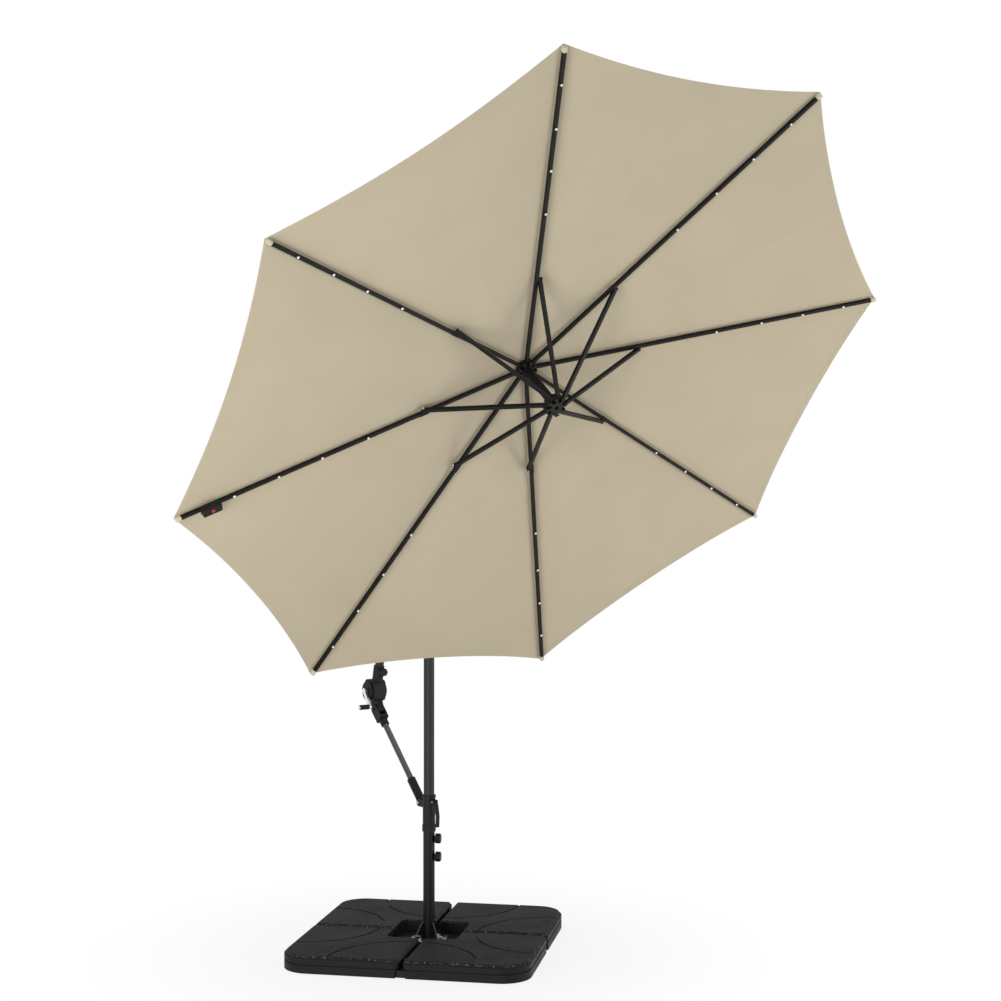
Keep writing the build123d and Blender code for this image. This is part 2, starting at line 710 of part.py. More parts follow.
def canopy_cloth():
    """Closed thin shell of the eight gores with their hollowed edges."""
    shell = canopy_shape(0) - canopy_shape(canopy_thickness * 1.02)
    chord = canopy_radius * math.sin(math.pi / rib_count)
    mid_reach = canopy_radius * math.cos(math.pi / rib_count)
    hollow = (chord**2 + scallop_depth**2) / (2 * scallop_depth)
    for number in range(1, rib_count + 1):
        middle = rib_angle(number) + 180 / rib_count
        scoop = Pos(mid_reach - scallop_depth + hollow, 0, 0) * Cylinder(hollow, 4 * canopy_drop)
        shell -= Rot(0, 0, middle) * scoop
    shell -= Cylinder(canopy_hole_radius, 4 * canopy_drop)
    return Pos(0, 0, canopy_thickness * 1.02) * shell


def rib(number):
    """One rib with its round pivot end and the lamps under it, in the canopy frame."""
    bar = Box(rib_length, rib_width, rib_height, align=(Align.MIN, Align.CENTER, Align.CENTER))
    bar -= Pos(rib_solid_end, 0, 0) * Box(
        rib_length,
        rib_width - 2 * rib_wall,
        rib_height - 2 * rib_wall,
        align=(Align.MIN, Align.CENTER, Align.CENTER),
    )
    bar += Rot(90, 0, 0) * Cylinder(rib_height / 2, rib_width)
    bar -= Rot(90, 0, 0) * Cylinder(frame_pin_radius + pin_clearance, 2 * rib_width)
    shift = box_lamp_shift if number == box_rib else 0.0
    lamps = []
    for share in lamp_places:
        reach = (canopy_radius * (share + shift) - rib_hinge_radius) / math.cos(rib_slope)
        lamp = Cylinder(lamp_radius, lamp_height, align=(Align.CENTER, Align.CENTER, Align.MAX))
        lamp = fillet(lamp.edges().group_by(Axis.Z)[0], lamp_height * 0.7)
        lamps.append(Pos(reach, 0, -rib_height / 2) * lamp)
    return rib_frame(number) * Compound([bar, *lamps])


def rib_frame(number):
    """Frame of a rib: X along it, Z towards the cloth."""
    turn = Rot(0, 0, rib_angle(number))
    return turn * Pos(rib_hinge_radius, 0, -rib_hinge_drop) * Rot(0, math.degrees(rib_slope), 0)


def stretcher(number):
    """One stretcher from the runner to the side of its rib, in the canopy frame."""
    bar = Box(
        stretcher_length, stretcher_width, stretcher_width, align=(Align.MIN, Align.CENTER, Align.CENTER)
    )
    bar -= Pos(stretcher_length / 2, 0, 0) * Box(
        stretcher_length - 2 * stretcher_solid_end,
        stretcher_width - 2 * stretcher_wall,
        stretcher_width - 2 * stretcher_wall,
    )
    eye = Rot(90, 0, 0) * Cylinder(stretcher_width / 2, stretcher_width)
    bar += eye + Pos(stretcher_length, 0, 0) * eye
    rivet_y = stretcher_width / 2 + rivet_height / 2
    bar += Pos(stretcher_length, rivet_y, 0) * Rot(90, 0, 0) * Cylinder(rivet_radius, rivet_height)
    bar -= Rot(90, 0, 0) * Cylinder(frame_pin_radius + pin_clearance, 3 * stretcher_width)
    turn = Rot(0, 0, rib_angle(number))
    spot = Pos(rib_hinge_radius, stretcher_side, -runner_hinge_drop)
    return turn * spot * Rot(0, -math.degrees(stretcher_slope), 0) * bar


def control_pieces():
    """Lamp control box under its rib, and its push button, in the canopy frame."""
    frame = rib_frame(box_rib)
    start = (box_start - rib_hinge_radius) / math.cos(rib_slope)
    centre = Pos(start + box_length / 2, 0, -rib_height / 2 - box_height / 2)
    case = Box(box_length, box_width, box_height)
    case = fillet(case.edges().filter_by(Axis.Z), box_width / 6)
    case = fillet(case.edges().group_by(Axis.Z)[0], box_width / 12)
    well = Pos(0, 0, -box_height / 2) * Cylinder(button_radius + seat_gap, 2 * button_height)
    button = Pos(0, 0, -box_height / 2 - button_travel) * Cylinder(
        button_radius, button_height, align=(Align.CENTER, Align.CENTER, Align.MIN)
    )
    return {"control_box": frame * centre * (case - well), "power_button": frame * centre * button}


def canopy_pieces():
    """Hub, crown cap, centre tube, runner, ribs, stretchers, cloth and lamp control."""
    pieces = {}
    hub, pieces["rib_pins"] = slotted(hung(hub_radius, hub_top, hub_height), rib_hinge_drop, rib_width, 0)
    tube = hung(centre_tube_radius, hub_top + 2, runner_drop - seat_gap - hub_top - 2)
    tube -= hung(centre_tube_radius - centre_tube_wall, 0, 2 * runner_drop)
    pieces["centre_tube"] = tube
    pieces["hub"] = hub - hung(centre_tube_radius, hub_top + 2, runner_drop)
    cap = Pos(0, 0, seat_gap) * Cylinder(
        cap_crown_radius, cap_crown_height, align=(Align.CENTER, Align.CENTER, Align.MIN)
    )
    cap = fillet(cap.edges().group_by(Axis.Z)[-1], cap_crown_height * 0.7)
    cap += hung(canopy_hole_radius - 2, 0, hub_top) + Cylinder(
        canopy_hole_radius - 2, seat_gap * 2, align=(Align.CENTER, Align.CENTER, Align.MIN)
    )
    plate = Box(
        2 * stem_radius, 2 * stem_half_width, hang_rise, align=(Align.CENTER, Align.CENTER, Align.MIN)
    )
    cap += plate + Pos(0, 0, hang_rise) * Rot(90, 0, 0) * Cylinder(stem_radius, 2 * stem_half_width)
    bore = Rot(90, 0, 0) * Cylinder(pin_radius + pin_clearance, 4 * stem_half_width)
    pieces["crown_cap"] = cap - Pos(0, 0, hang_rise) * bore
    disc = hung(runner_radius, runner_drop, runner_height) - hung(runner_bore_radius, 0, 2 * runner_drop)
    runner, pins = slotted(disc, runner_hinge_drop, stretcher_width, stretcher_side)
    pieces["runner"] = runner
    pieces["runner_pins"] = pins
    for number in range(1, rib_count + 1):
        pieces[f"rib_{number}"] = rib(number)
        pieces[f"stretcher_{number}"] = stretcher(number)
    pieces["canopy"] = canopy_cloth()
    pieces.update(control_pieces())
    return {name: canopy_place * piece for name, piece in pieces.items()}


def main():
    """Builds every piece and writes each to its own file."""
    os.makedirs("parts", exist_ok=True)
    pieces = {}
    lower_groups = (base_pieces, mast_pieces, sleeve_pieces, brace_pieces)
    upper_groups = (winch_pieces, boom_pieces, canopy_pieces)
    for group in lower_groups + upper_groups:
        pieces.update(group())
    for name, piece in pieces.items():
        export_step(piece, f"parts/{name}.step")


if __name__ == "__main__":
    main()
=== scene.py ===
"""Looks of a cantilever patio umbrella on a weighted base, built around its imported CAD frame."""

from __future__ import annotations

import json
import logging
import math
from dataclasses import dataclass
from enum import Enum
from typing import Any, Callable, Iterable, Sequence

import bpy
import numpy as np
from mathutils import Matrix, Vector

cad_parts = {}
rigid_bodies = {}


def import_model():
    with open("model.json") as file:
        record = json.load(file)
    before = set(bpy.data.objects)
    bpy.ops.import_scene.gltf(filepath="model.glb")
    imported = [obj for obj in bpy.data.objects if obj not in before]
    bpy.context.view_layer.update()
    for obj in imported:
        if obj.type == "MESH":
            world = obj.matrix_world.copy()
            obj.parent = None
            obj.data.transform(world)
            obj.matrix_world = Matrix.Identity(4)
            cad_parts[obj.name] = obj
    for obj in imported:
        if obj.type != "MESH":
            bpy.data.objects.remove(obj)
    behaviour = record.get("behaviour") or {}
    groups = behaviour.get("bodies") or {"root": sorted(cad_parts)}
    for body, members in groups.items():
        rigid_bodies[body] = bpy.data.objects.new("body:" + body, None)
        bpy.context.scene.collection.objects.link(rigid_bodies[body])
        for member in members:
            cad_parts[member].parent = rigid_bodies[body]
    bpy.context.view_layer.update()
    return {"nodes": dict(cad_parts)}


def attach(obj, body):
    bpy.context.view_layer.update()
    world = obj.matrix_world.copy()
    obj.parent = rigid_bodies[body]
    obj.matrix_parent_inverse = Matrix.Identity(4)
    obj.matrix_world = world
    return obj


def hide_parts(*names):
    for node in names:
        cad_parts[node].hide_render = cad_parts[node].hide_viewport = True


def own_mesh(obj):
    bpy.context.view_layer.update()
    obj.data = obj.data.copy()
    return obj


log = logging.getLogger("umbrella")

MM = 0.001
RIB_COUNT = 8
BOX_RIB = 7
# The canopy's outward direction lies half-way between ribs 1 and 2
OUTWARD_RIB = 1.5
GORE_ANGLE = 2 * math.pi / RIB_COUNT
HUB_PLACE = (0.690, 0.0, 2.420)
SIDEWAYS = Vector((0, 1, 0))
WHITE = (1.0, 1.0, 1.0, 1.0)
SMOOTH_ANGLE = math.radians(35)
# Heights closer than this count as one
SAME_HEIGHT = 1e-6


def linear(colour: str) -> tuple[float, float, float, float]:
    """Turn an sRGB hex colour into linear light.

    Args:
        colour: Six hex digits after a hash.

    Returns:
        Red, green, blue and an alpha of one.
    """
    parts = [int(colour[i : i + 2], 16) / 255 for i in (1, 3, 5)]
    red, green, blue = (c / 12.92 if c <= 0.04045 else ((c + 0.055) / 1.055) ** 2.4 for c in parts)
    return red, green, blue, 1.0


def add_node(
    tree: bpy.types.NodeTree,
    kind: str,
    settings: dict[str, Any] | None = None,
    inputs: dict[Any, Any] | None = None,
) -> bpy.types.Node:
    """Add one shader node with its settings, values and links.

    Args:
        tree: Node tree of the material.
        kind: Blender's type name of the node.
        settings: Properties of the node itself.
        inputs: Values or output sockets by input name or number.

    Returns:
        The new node.
    """
    node = tree.nodes.new(kind)
    for key, value in (settings or {}).items():
        setattr(node, key, value)
    for key, value in (inputs or {}).items():
        if isinstance(value, bpy.types.NodeSocket):
            tree.links.new(value, node.inputs[key])
        else:
            node.inputs[key].default_value = value
    return node


def new_material(name: str) -> tuple[bpy.types.Material, bpy.types.NodeTree, bpy.types.Node]:
    """Start a material that has nodes.

    Args:
        name: Name of the real material.

    Returns:
        The material, its node tree and its main shader.
    """
    made = bpy.data.materials.new(name)
    made.use_nodes = True
    return made, made.node_tree, made.node_tree.nodes["Principled BSDF"]


def deselect() -> None:
    """Leave nothing selected."""
    for obj in bpy.context.view_layer.objects:
        obj.select_set(False)
    bpy.context.view_layer.objects.active = None


def activate(obj: bpy.types.Object) -> None:
    """Select one object alone and make it the active one.

    Args:
        obj: Object to select.
    """
    deselect()
    obj.select_set(True)
    bpy.context.view_layer.objects.active = obj


def added(name: str) -> bpy.types.Object:
    """Name the primitive that was just added.

    Args:
        name: Name for the object and its mesh.

    Returns:
        The object.
    """
    obj = bpy.context.view_layer.objects.active
    obj.name = name
    obj.data.name = name
    return obj


def apply_place(obj: bpy.types.Object, place: Matrix) -> None:
    """Put a place into the mesh, so that the object stays at the origin.

    Args:
        obj: Piece to move.
        place: Where it goes.
    """
    obj.data.transform(place @ obj.matrix_world)
    obj.matrix_world = Matrix.Identity(4)


def finish_shape(obj: bpy.types.Object, *modifiers: tuple[str, dict[str, Any]]) -> None:
    """Add modifiers in order, apply each and shade the piece.

    Args:
        obj: Piece to finish.
        modifiers: Pairs of a modifier's type and its settings.
    """
    activate(obj)
    for kind, settings in modifiers:
        modifier = obj.modifiers.new(kind.lower(), kind)
        for key, value in settings.items():
            setattr(modifier, key, value)
        bpy.ops.object.modifier_apply(modifier=modifier.name)
    bpy.ops.object.shade_smooth_by_angle(angle=SMOOTH_ANGLE)


def open_faces(obj: bpy.types.Object, wanted: Callable[[bpy.types.MeshPolygon], bool]) -> None:
    """Open a piece in edit mode with only some of its faces selected.

    Args:
        obj: Piece to edit.
        wanted: Test on a face.
    """
    activate(obj)
    bpy.ops.object.mode_set(mode="EDIT")
    bpy.ops.mesh.select_all(action="DESELECT")
    bpy.ops.mesh.select_mode(type="FACE")
    bpy.ops.object.mode_set(mode="OBJECT")
    for face in obj.data.polygons:
        face.select = wanted(face)
    bpy.ops.object.mode_set(mode="EDIT")


def joined(name: str, copies: Sequence[bpy.types.Object]) -> bpy.types.Object:
    """Join copies of a piece into one mesh.

    Args:
        name: Name of the whole.
        copies: Objects to join, the first of which stays.

    Returns:
        The joined object.
    """
    deselect()
    for obj in copies:
        obj.select_set(True)
    bpy.context.view_layer.objects.active = copies[0]
    bpy.ops.object.join()
    return added(name)


def copy_of(obj: bpy.types.Object, place: Matrix) -> bpy.types.Object:
    """Copy a piece with its own mesh to another place.

    Args:
        obj: Piece modelled at the origin.
        place: Where the copy goes.

    Returns:
        The copy.
    """
    twin = obj.copy()
    twin.data = obj.data.copy()
    bpy.context.scene.collection.objects.link(twin)
    apply_place(twin, place)
    return twin


def dress(obj: bpy.types.Object, material: bpy.types.Material) -> None:
    """Give a piece one material.

    Args:
        obj: Piece to dress.
        material: Its only material.
    """
    obj.data.materials.clear()
    obj.data.materials.append(material)


class Grain(Enum):
    """Kind of pattern that shapes a surface."""

    FINE = "fine"
    PEEL = "peel"
    PEBBLE = "pebble"


# A peel is smooth between its bumps, and a fine grain is rough down to small sizes
GRAIN_DETAIL = {Grain.FINE: 6.0, Grain.PEEL: 2.0}


@dataclass(frozen=True)
class Finish:
    """A real material with its colour, gloss and surface pattern."""

    name: str
    colour: str
    light_colour: str
    roughness: float
    metallic: float = 0.0
    ior: float = 1.5
    specular: float = 0.5
    grain: Grain = Grain.FINE
    grain_mm: float = 4.0
    patch_mm: float = 120.0
    bump: float = 0.15
    bump_mm: float = 0.3
    coat: float = 0.0
    # Heights of a band of pale speckle painted as highlights along an upper edge
    glint_from_mm: float | None = None
    glint_to_mm: float | None = None
    patch_detail: float = 4.0
    patch_range: tuple[float, float] = (0.3, 0.7)
    gloss_spread: float = 0.06
    # Colour, size and spread of that painted highlight speckle
    glint_colour: str = "#b4b4b2"
    speckle_mm: float = 6.25
    speckle_detail: float = 3.0
    speckle_range: tuple[float, float] = (0.56, 0.66)

    def material(self) -> bpy.types.Material:
        """Build the procedural material.

        Returns:
            A material that reads Object coordinates.
        """
        made, tree, shader = new_material(self.name)
        shader.inputs["Metallic"].default_value = self.metallic
        if self.metallic == 0.0:
            shader.inputs["IOR"].default_value = self.ior
        shader.inputs["Specular IOR Level"].default_value = self.specular
        shader.inputs["Coat Weight"].default_value = self.coat
        place = add_node(tree, "ShaderNodeTexCoord")
        at = place.outputs["Object"]
        patches = add_node(
            tree,
            "ShaderNodeTexNoise",
            inputs={"Vector": at, "Scale": 1 / (self.patch_mm * MM), "Detail": self.patch_detail},
        )
        blend = add_node(
            tree,
            "ShaderNodeMix",
            {"data_type": "RGBA"},
            {0: patches.outputs["Fac"], 6: linear(self.colour), 7: linear(self.light_colour)},
        )
        colour = blend.outputs[2]
        height = self.relief(tree, at)
        gloss = add_node(
            tree,
            "ShaderNodeMapRange",
            inputs={
                "Value": patches.outputs["Fac"],
                "From Min": self.patch_range[0],
                "From Max": self.patch_range[1],
                "To Min": self.roughness - self.gloss_spread,
                "To Max": self.roughness + self.gloss_spread,
            },
        )
        # Pale speckle painted along the upper edges stands for glints of light there
        if self.glint_from_mm is not None:
            colour = self.painted_glints(tree, at, colour)
        tree.links.new(colour, shader.inputs["Base Color"])
        tree.links.new(gloss.outputs[0], shader.inputs["Roughness"])
        bump = add_node(
            tree,
            "ShaderNodeBump",
            inputs={"Strength": self.bump, "Distance": self.bump_mm * MM, "Height": height},
        )
        tree.links.new(bump.outputs[0], shader.inputs["Normal"])
        return made

    def relief(self, tree: bpy.types.NodeTree, at: bpy.types.NodeSocket) -> bpy.types.NodeSocket:
        """Height pattern of the surface.

        Args:
            tree: Node tree of the material.
            at: Object coordinates.

        Returns:
            The socket that holds the height.
        """
        scale = 1 / (self.grain_mm * MM)
        if self.grain is Grain.PEBBLE:
            cells = add_node(
                tree, "ShaderNodeTexVoronoi", {"feature": "SMOOTH_F1"}, {"Vector": at, "Scale": scale}
            )
            return cells.outputs["Distance"]
        noise = add_node(
            tree,
            "ShaderNodeTexNoise",
            inputs={"Vector": at, "Scale": scale, "Detail": GRAIN_DETAIL[self.grain]},
        )
        return noise.outputs["Fac"]

    def painted_glints(
        self, tree: bpy.types.NodeTree, at: bpy.types.NodeSocket, colour: bpy.types.NodeSocket
    ) -> bpy.types.NodeSocket:
        """Painted highlight: pale speckle between two heights, standing for the glints of light along a
        moulded upper edge.

        Args:
            tree: Node tree of the material.
            at: Object coordinates.
            colour: Colour without the speckle.

        Returns:
            The colour with the speckle.
        """
        split = add_node(tree, "ShaderNodeSeparateXYZ", inputs={0: at})
        low = add_node(
            tree,
            "ShaderNodeMapRange",
            inputs={
                "Value": split.outputs[2],
                "From Min": self.glint_from_mm * MM,
                "From Max": self.glint_to_mm * MM,
            },
        )
        hump = add_node(tree, "ShaderNodeMath", {"operation": "PINGPONG"}, {0: low.outputs[0], 1: 0.5})
        # Noise that scatters the painted highlight into separate glints
        glint_noise = add_node(
            tree,
            "ShaderNodeTexNoise",
            inputs={"Vector": at, "Scale": 1 / (self.speckle_mm * MM), "Detail": self.speckle_detail},
        )
        spots = add_node(
            tree,
            "ShaderNodeMapRange",
            inputs={
                "Value": glint_noise.outputs["Fac"],
                "From Min": self.speckle_range[0],
                "From Max": self.speckle_range[1],
            },
        )
        share = add_node(
            tree, "ShaderNodeMath", {"operation": "MULTIPLY"}, {0: hump.outputs[0], 1: spots.outputs[0]}
        )
        mixed = add_node(
            tree,
            "ShaderNodeMix",
            {"data_type": "RGBA"},
            {0: share.outputs[0], 6: colour, 7: linear(self.glint_colour)},
        )
        return mixed.outputs[2]


@dataclass(frozen=True)
class WovenCloth:
    """Plain-woven polyester, whose threads run along and across each gore of the canopy."""

    name: str
    colour: str
    light_colour: str
    # Real threads are about 0.5 mm apart, which is too fine to show, so they are drawn wider
    thread_mm: float = 5.0
    thread_wander: float = 0.6
    thread_detail: float = 1.0
    thread_tone: float = 0.25
    # The wave pattern counts its bands in turns
    wave_turn: float = 6.283
    patch_mm: float = 260.0
    patch_detail: float = 3.0
    roughness: float = 0.82
    ior: float = 1.45
    specular: float = 0.25
    sheen: float = 0.25
    sheen_roughness: float = 0.5
    bump: float = 0.2
    bump_mm: float = 0.4
    stitch_colour: str = "#9d9178"
    stitch_mm: float = 9.0
    stitch_half_gap_mm: float = 1.5
    stitch_from_seam_mm: float = 14.0
    stitch_width_mm: float = 2.4

    def material(self) -> bpy.types.Material:
        """Build the cloth's material.

        Returns:
            A material that reads the piece's UV map and its seam attribute.
        """
        made, tree, shader = new_material(self.name)
        shader.inputs["Roughness"].default_value = self.roughness
        shader.inputs["IOR"].default_value = self.ior
        shader.inputs["Sheen Weight"].default_value = self.sheen
        shader.inputs["Sheen Roughness"].default_value = self.sheen_roughness
        shader.inputs["Specular IOR Level"].default_value = self.specular
        cut = add_node(tree, "ShaderNodeUVMap", {"uv_map": "cut"}).outputs[0]
        threads = []
        for direction in ("X", "Y"):
            wave = add_node(
                tree,
                "ShaderNodeTexWave",
                {"wave_type": "BANDS", "bands_direction": direction},
                {
                    "Vector": cut,
                    "Scale": 1 / (self.thread_mm * MM) / self.wave_turn,
                    "Distortion": self.thread_wander,
                    "Detail": self.thread_detail,
                },
            )
            threads.append(wave.outputs["Fac"])
        weave = add_node(
            tree, "ShaderNodeMath", {"operation": "MAXIMUM"}, {0: threads[0], 1: threads[1]}
        )
        patches = add_node(
            tree,
            "ShaderNodeTexNoise",
            inputs={"Vector": cut, "Scale": 1 / (self.patch_mm * MM), "Detail": self.patch_detail},
        )
        tone = add_node(
            tree,
            "ShaderNodeMath",
            {"operation": "MULTIPLY_ADD"},
            {0: weave.outputs[0], 1: self.thread_tone, 2: patches.outputs["Fac"]},
        )
        blend = add_node(
            tree,
            "ShaderNodeMix",
            {"data_type": "RGBA"},
            {0: tone.outputs[0], 6: linear(self.colour), 7: linear(self.light_colour)},
        )
        stitched = self.stitching(tree, cut, blend.outputs[2])
        tree.links.new(stitched, shader.inputs["Base Color"])
        bump = add_node(
            tree,
            "ShaderNodeBump",
            inputs={"Strength": self.bump, "Distance": self.bump_mm * MM, "Height": weave.outputs[0]},
        )
        tree.links.new(bump.outputs[0], shader.inputs["Normal"])
        return made

    def stitching(
        self, tree: bpy.types.NodeTree, cut: bpy.types.NodeSocket, colour: bpy.types.NodeSocket
    ) -> bpy.types.NodeSocket:
        """Row of stitches beside each seam.

        Args:
            tree: Node tree of the material.
            cut: Coordinates in the cut, in metres.
            colour: Colour of the cloth.

        Returns:
            The colour with the stitches.
        """
        seam = add_node(tree, "ShaderNodeAttribute", {"attribute_name": "seam"})
        away = add_node(
            tree,
            "ShaderNodeMath",
            {"operation": "COMPARE"},
            {0: seam.outputs["Fac"], 1: self.stitch_from_seam_mm * MM, 2: self.stitch_width_mm * MM / 2},
        )
        along = add_node(tree, "ShaderNodeSeparateXYZ", inputs={0: cut})
        steps = add_node(
            tree,
            "ShaderNodeMath",
            {"operation": "PINGPONG"},
            {0: along.outputs[1], 1: self.stitch_mm * MM / 2},
        )
        dashes = add_node(
            tree,
            "ShaderNodeMath",
            {"operation": "GREATER_THAN"},
            {0: steps.outputs[0], 1: self.stitch_half_gap_mm * MM},
        )
        both = add_node(
            tree, "ShaderNodeMath", {"operation": "MULTIPLY"}, {0: away.outputs[0], 1: dashes.outputs[0]}
        )
        mixed = add_node(
            tree,
            "ShaderNodeMix",
            {"data_type": "RGBA"},
            {0: both.outputs[0], 6: colour, 7: linear(self.stitch_colour)},
        )
        return mixed.outputs[2]


@dataclass
class CanopyFrame:
    """Place and sizes of the canopy, as in the CAD model."""

    hub: Vector
    tilt: float = math.radians(51.5)
    radius: float = 1.5
    hole: float = 0.023
    peak: float = 0.018
    drop: float = 0.238
    scallop: float = 0.045
    hinge_radius: float = 0.032
    hinge_drop: float = 0.033
    rib_half_height: float = 0.007
    rib_half_width: float = 0.006
    rib_reach: float = 1.488
    rib_tip_drop: float = 0.247
    stretcher_reach: float = 0.470

    def __post_init__(self) -> None:
        """Work out the directions and the gore's shape."""
        self.axis = Vector((-math.sin(self.tilt), 0, math.cos(self.tilt)))
        self.out = Vector((math.cos(self.tilt), 0, math.sin(self.tilt)))
        self.slope = (self.drop - self.peak) / (self.radius - self.hinge_radius)
        self.top = self.peak - self.slope * self.hinge_radius
        self.middle = self.radius * math.cos(GORE_ANGLE / 2)
        chord = self.radius * math.sin(GORE_ANGLE / 2)
        self.hollow = (chord**2 + self.scallop**2) / (2 * self.scallop)
        self.rib_slope = math.atan2(self.rib_tip_drop - self.hinge_drop, self.rib_reach - self.hinge_radius)
        self.rib_length = (self.rib_reach - self.hinge_radius) / math.cos(self.rib_slope)

    def angle(self, rib: int) -> float:
        """Angle of a numbered rib from the outward direction.

        Args:
            rib: Number of the rib.

        Returns:
            The angle in radians.
        """
        return GORE_ANGLE * (rib - OUTWARD_RIB)

    def direction(self, angle: float) -> Vector:
        """Direction at an angle about the canopy axis.

        Args:
            angle: Angle from the outward direction, in radians.

        Returns:
            The direction, of length one.
        """
        return self.out * math.cos(angle) + SIDEWAYS * math.sin(angle)

    def point(self, x: float, y: float, z: float) -> Vector:
        """Point of the canopy's own frame in the part's frame.

        Args:
            x: Distance outwards.
            y: Distance sideways.
            z: Distance along the canopy axis.

        Returns:
            The point.
        """
        return self.hub + self.out * x + SIDEWAYS * y + self.axis * z

    def rib_place(self, rib: int) -> Matrix:
        """Frame of a rib, with X along it and Z towards the cloth.

        Args:
            rib: Number of the rib.

        Returns:
            The place as a matrix.
        """
        canopy = Matrix.Identity(4)
        for row in range(3):
            canopy[row][0] = self.out[row]
            canopy[row][1] = SIDEWAYS[row]
            canopy[row][2] = self.axis[row]
            canopy[row][3] = self.hub[row]
        turn = Matrix.Rotation(self.angle(rib), 4, "Z")
        shift = Matrix.Translation((self.hinge_radius, 0, -self.hinge_drop))
        return canopy @ turn @ shift @ Matrix.Rotation(self.rib_slope, 4, "Y")

    def edge_reach(self, bearing: float) -> float:
        """Distance of the hollowed edge from the axis.

        Args:
            bearing: Angle from the middle line of the gore.

        Returns:
            The distance in metres.
        """
        centre = self.middle - self.scallop + self.hollow
        spread = 1 + math.tan(bearing) ** 2
        x = (centre - math.sqrt(centre**2 - spread * (centre**2 - self.hollow**2))) / spread
        return x * math.sqrt(spread)


